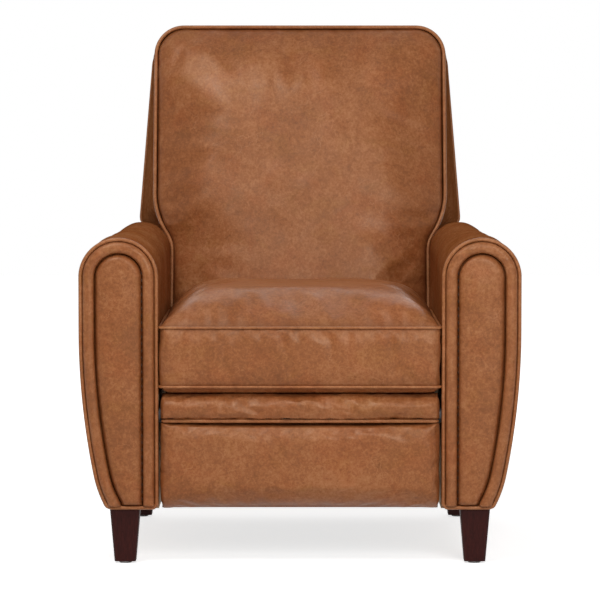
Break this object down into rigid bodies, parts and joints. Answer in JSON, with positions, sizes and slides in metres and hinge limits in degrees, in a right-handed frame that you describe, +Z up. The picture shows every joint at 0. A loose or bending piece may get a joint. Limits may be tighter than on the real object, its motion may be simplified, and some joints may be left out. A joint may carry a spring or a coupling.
{
  "type": "pushback recliner",
  "caption": "Leather pushback recliner: round padded arms, T back, box seat cushion, and a footrest that swings out on links as the back tips.",
  "frame": {"origin": "on the floor, under the middle of the chair at rest", "axes": "+Z up, the chair faces -Y, +X to the right of a person who looks at its front"},
  "size_m": [0.813, 0.85, 1.0035],
  "materials": {
    "cognac_leather": "waxed pull-up leather with soft sheen",
    "welt_leather": "corded welt in the same leather",
    "leg_wood": "dark mahogany stain, satin",
    "frame_wood": "plain hardwood and plywood",
    "link_steel": "black enamel on steel sheet",
    "spring_steel": "oiled spring wire",
    "deck_cloth": "black woven cloth",
    "glide_nylon": "grey nylon"
  },
  "bodies": {
    "base": {"arm_pad_right": "cognac_leather", "arm_pad_left": "cognac_leather", "arm_frame_right": "frame_wood", "arm_frame_left": "frame_wood", "arm_roll_right": "cognac_leather", "arm_roll_left": "cognac_leather", "arm_panel_right": "cognac_leather", "arm_panel_left": "cognac_leather", "arm_welt_right": "welt_leather", "arm_welt_left": "welt_leather", "front_leg_right": "leg_wood", "front_leg_left": "leg_wood", "rear_leg_right": "leg_wood", "rear_leg_left": "leg_wood", "leg_glides": "glide_nylon", "leg_bolts": "link_steel", "front_stretcher": "frame_wood", "rear_rail": "frame_wood", "rear_apron": "cognac_leather", "base_plate_right": "link_steel", "base_plate_left": "link_steel", "base_pivot_studs": "link_steel"},
    "rear_links": {"rear_link_right": "link_steel", "rear_link_left": "link_steel", "rear_torque_tube": "link_steel"},
    "front_links": {"front_link_right": "link_steel", "front_link_left": "link_steel"},
    "seat": {"seat_frame": "frame_wood", "seat_plate_right": "link_steel", "seat_plate_left": "link_steel", "seat_pivot_studs": "link_steel", "seat_springs": "spring_steel", "spring_clips": "spring_steel", "seat_deck": "deck_cloth", "seat_cushion": "cognac_leather"},
    "back": {"back_frame": "frame_wood", "back_pad": "cognac_leather", "back_shell": "cognac_leather", "back_webbing": "deck_cloth", "back_bracket_right": "link_steel", "back_bracket_left": "link_steel", "back_welt": "welt_leather"},
    "control_links": {"back_control_link_right": "link_steel", "back_control_link_left": "link_steel"},
    "guide_links": {"guide_link_right": "link_steel", "guide_link_left": "link_steel"},
    "swing_links": {"swing_link_right": "link_steel", "swing_link_left": "link_steel"},
    "carrier_links": {"carrier_link_right": "link_steel", "carrier_link_left": "link_steel"},
    "stay_links": {"stay_link_right": "link_steel", "stay_link_left": "link_steel"},
    "footrest": {"footrest_bracket_right": "link_steel", "footrest_bracket_left": "link_steel", "footrest_board": "frame_wood", "footrest_pad": "cognac_leather", "footrest_band": "cognac_leather", "footrest_welt": "welt_leather"}
  },
  "joints": [
    {"name": "recline", "type": "hinge", "parent": "base", "child": "rear_links", "pos_m": [0, 0.11, 0.15], "axis": [1, 0, 0], "range_deg": [0, 50]},
    {"name": "front_link_pivot", "type": "hinge", "parent": "base", "child": "front_links", "pos_m": [0, -0.11, 0.15], "axis": [1, 0, 0], "range_deg": [0, 50]},
    {"name": "seat_carry", "type": "hinge", "parent": "rear_links", "child": "seat", "pos_m": [0, 0.20753, 0.21094], "axis": [1, 0, 0], "range_deg": [-50, 0]},
    {"name": "back_tilt", "type": "hinge", "parent": "seat", "child": "back", "pos_m": [0, 0.165, 0.3], "axis": [1, 0, 0], "range_deg": [-32, 0]},
    {"name": "back_control_pivot", "type": "hinge", "parent": "base", "child": "control_links", "pos_m": [0, 0.00597, 0.14435], "axis": [1, 0, 0], "range_deg": [0, 36]},
    {"name": "swing_pivot", "type": "hinge", "parent": "seat", "child": "swing_links", "pos_m": [0, -0.33, 0.264], "axis": [1, 0, 0], "range_deg": [-93, 0]},
    {"name": "guide_pivot", "type": "hinge", "parent": "seat", "child": "guide_links", "pos_m": [0, -0.2722, 0.259], "axis": [1, 0, 0], "range_deg": [-93, 0]},
    {"name": "carrier_pivot", "type": "hinge", "parent": "swing_links", "child": "carrier_links", "pos_m": [0, -0.2376, 0.1513], "axis": [1, 0, 0], "range_deg": [0, 93]},
    {"name": "stay_pivot", "type": "hinge", "parent": "swing_links", "child": "stay_links", "pos_m": [0, -0.24018, 0.1174], "axis": [1, 0, 0], "range_deg": [0, 93]},
    {"name": "footrest_pivot", "type": "hinge", "parent": "carrier_links", "child": "footrest", "pos_m": [0, -0.344, 0.29], "axis": [1, 0, 0], "range_deg": [-93, 0]}
  ],
  "couplings": [
    {"joint": "front_link_pivot", "follows": "recline", "ratio": 1},
    {"joint": "seat_carry", "follows": "recline", "ratio": -1},
    {"joint": "back_tilt", "follows": "recline", "ratio": -0.64},
    {"joint": "back_control_pivot", "follows": "recline", "ratio": 0.72},
    {"joint": "swing_pivot", "follows": "recline", "ratio": -1.86},
    {"joint": "guide_pivot", "follows": "recline", "ratio": -1.86},
    {"joint": "carrier_pivot", "follows": "recline", "ratio": 1.86},
    {"joint": "stay_pivot", "follows": "recline", "ratio": 1.86},
    {"joint": "footrest_pivot", "follows": "recline", "ratio": -1.86}
  ]
}
